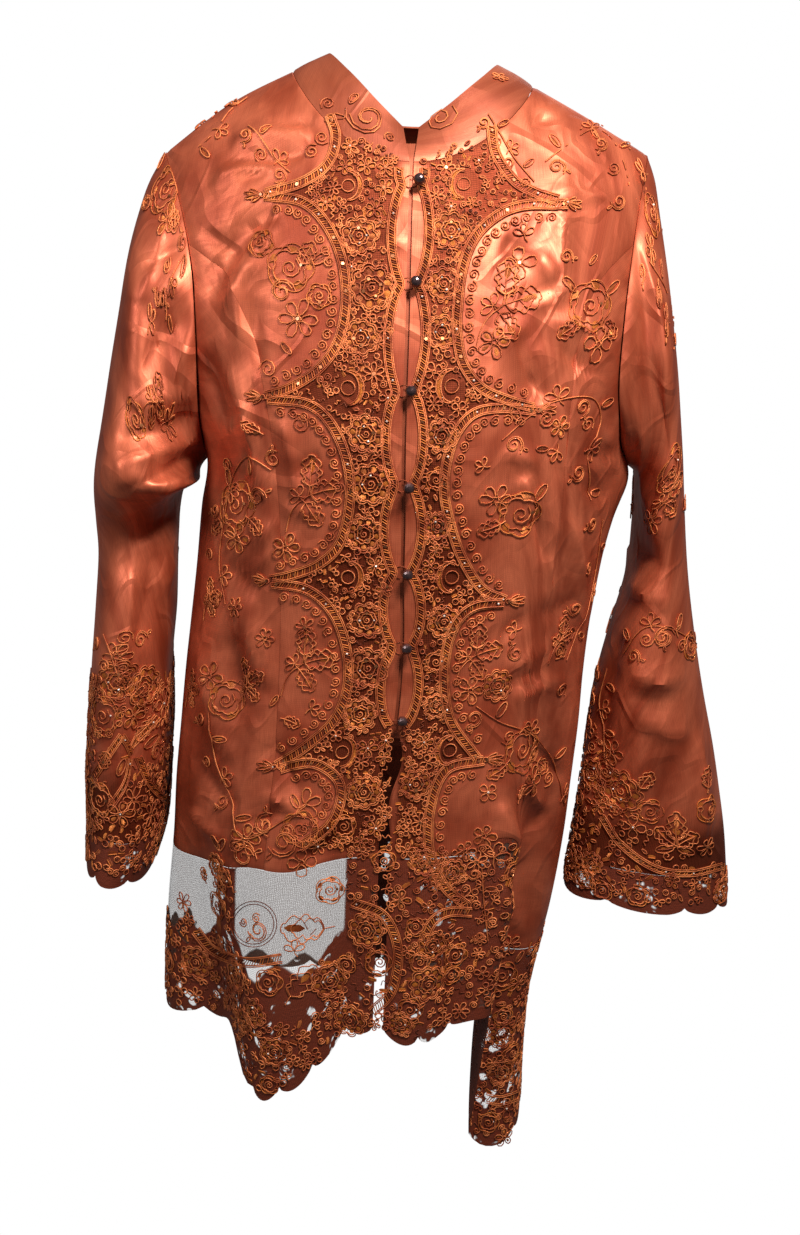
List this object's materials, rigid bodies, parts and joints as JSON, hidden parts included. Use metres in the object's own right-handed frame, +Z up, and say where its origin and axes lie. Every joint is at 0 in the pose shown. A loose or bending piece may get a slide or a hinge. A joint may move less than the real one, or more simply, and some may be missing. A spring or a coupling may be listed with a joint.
{
  "type": "kebaya blouse",
  "caption": "Long buttoned kebaya jacket with a stand collar, flared long sleeves and a sheer scalloped lace hem, filled out as when worn.",
  "frame": {"origin": "midway between the two neck points where the shoulder seams meet the collar", "axes": "+Z up, front faces -Y, +X towards the wearer's left sleeve"},
  "size_m": [0.607, 0.2641, 0.9726],
  "materials": {
    "copper_satin": "satin weave under fine net with corded embroidery",
    "collar_satin": "plain satin weave",
    "embroidered_net": "sheer net with dense corded lace",
    "button_metal": "dark pearl coating"
  },
  "bodies": {
    "root": {"back": "copper_satin", "front_centre_right": "copper_satin", "front_centre_left": "copper_satin", "front_side_right": "copper_satin", "front_side_left": "copper_satin", "sleeve_right": "copper_satin", "sleeve_left": "copper_satin", "front_underlap": "copper_satin", "collar": "collar_satin", "hem_lace_back": "embroidered_net", "hem_lace_front_right": "embroidered_net", "hem_lace_front_left": "embroidered_net", "cuff_lace_right_front": "embroidered_net", "cuff_lace_right_back": "embroidered_net", "cuff_lace_left_front": "embroidered_net", "cuff_lace_left_back": "embroidered_net", "button_1": "button_metal", "button_2": "button_metal", "button_3": "button_metal", "button_4": "button_metal", "button_5": "button_metal", "button_6": "button_metal", "button_7": "button_metal"}
  },
  "joints": []
}
